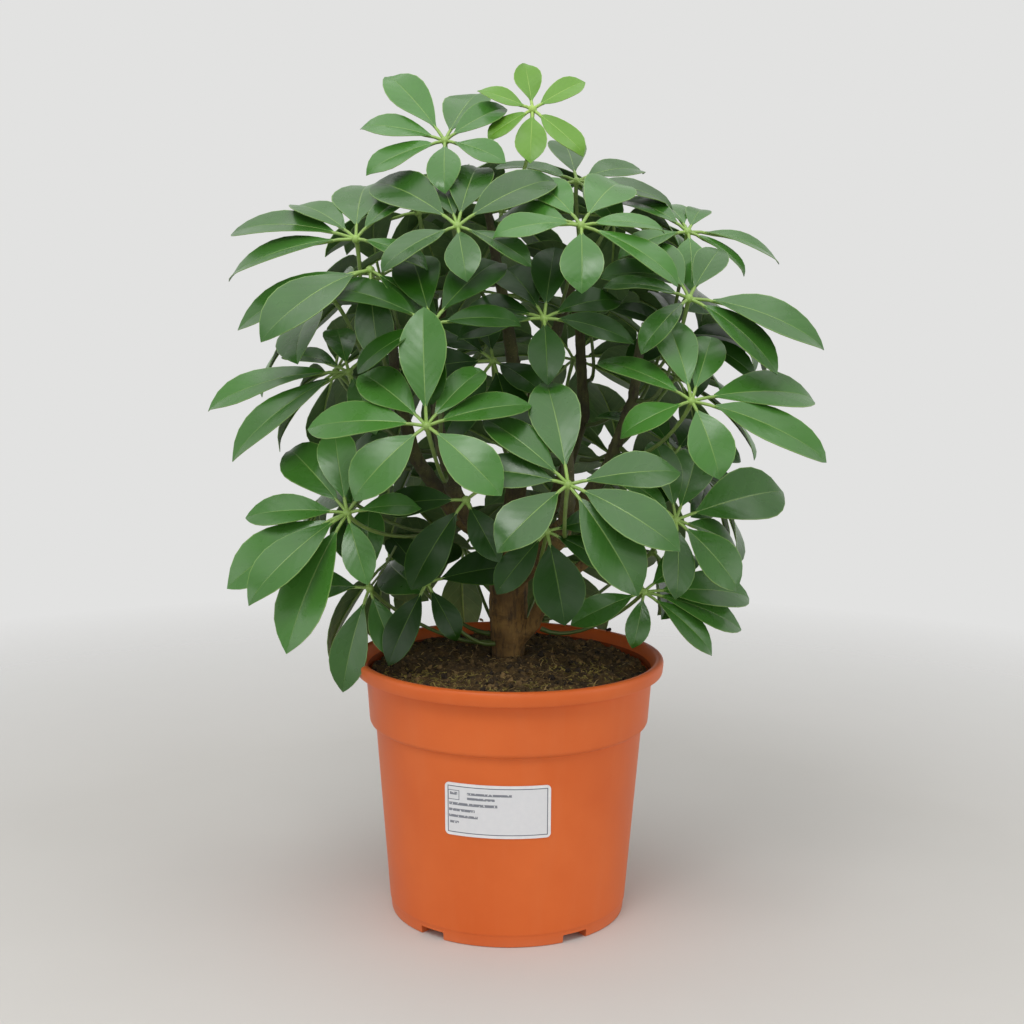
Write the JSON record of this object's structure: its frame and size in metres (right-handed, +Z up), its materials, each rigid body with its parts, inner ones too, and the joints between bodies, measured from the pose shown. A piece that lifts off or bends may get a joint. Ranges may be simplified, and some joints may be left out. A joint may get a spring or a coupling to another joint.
{
  "type": "potted umbrella plant",
  "caption": "Bushy umbrella plant with whorls of glossy leaflets on a short branching trunk, in a round plastic nursery pot with a plain sticker.",
  "frame": {"origin": "On the floor, on the pot's axis; the middle of the plant's bounding box lies within 4 mm of it in X and Y", "axes": "+Z up along the pot's axis, -Y towards the front, where the pot has its label, +X to the viewer's right"},
  "size_m": [0.3983, 0.3556, 0.5724],
  "materials": {
    "pot": "satin",
    "soil": "matte",
    "label": "satin",
    "bark": "matte",
    "leaf": "gloss",
    "young_leaf": "gloss"
  },
  "bodies": {
    "root": {"pot": "pot", "soil": "soil", "label": "label", "trunk": "bark", "leaf_front": "leaf", "leaf_front_left": "leaf", "leaf_front_right": "leaf", "leaf_front_upper": "leaf", "leaf_young": "young_leaf", "leaf_top_left": "leaf", "leaf_crown_left": "leaf", "leaf_crown_right": "leaf", "leaf_crown_back": "leaf", "leaf_left_upper": "leaf", "leaf_left_shoulder": "leaf", "leaf_left_middle": "leaf", "leaf_left_lower": "leaf", "leaf_heart": "leaf", "leaf_right_top": "leaf", "leaf_right_upper": "leaf", "leaf_right_lower": "leaf", "leaf_low_right": "leaf", "leaf_low_left": "leaf", "leaf_low_middle": "leaf", "leaf_under_front": "leaf", "leaf_shade_left": "leaf", "leaf_right_inner": "leaf", "leaf_inner": "leaf", "leaf_right_shade": "leaf", "leaf_back_01": "leaf", "leaf_back_02": "leaf", "leaf_back_03": "leaf", "leaf_back_04": "leaf", "leaf_back_05": "leaf", "leaf_back_06": "leaf", "leaf_back_07": "leaf", "leaf_back_08": "leaf", "leaf_back_09": "leaf", "leaf_back_10": "leaf", "leaf_back_11": "leaf", "leaf_back_12": "leaf", "leaf_back_13": "leaf", "leaf_back_14": "leaf", "leaf_back_15": "leaf", "leaf_back_16": "leaf", "leaf_back_17": "leaf", "leaf_back_18": "leaf", "leaf_back_19": "leaf", "leaf_back_20": "leaf", "leaf_back_21": "leaf"}
  },
  "joints": []
}
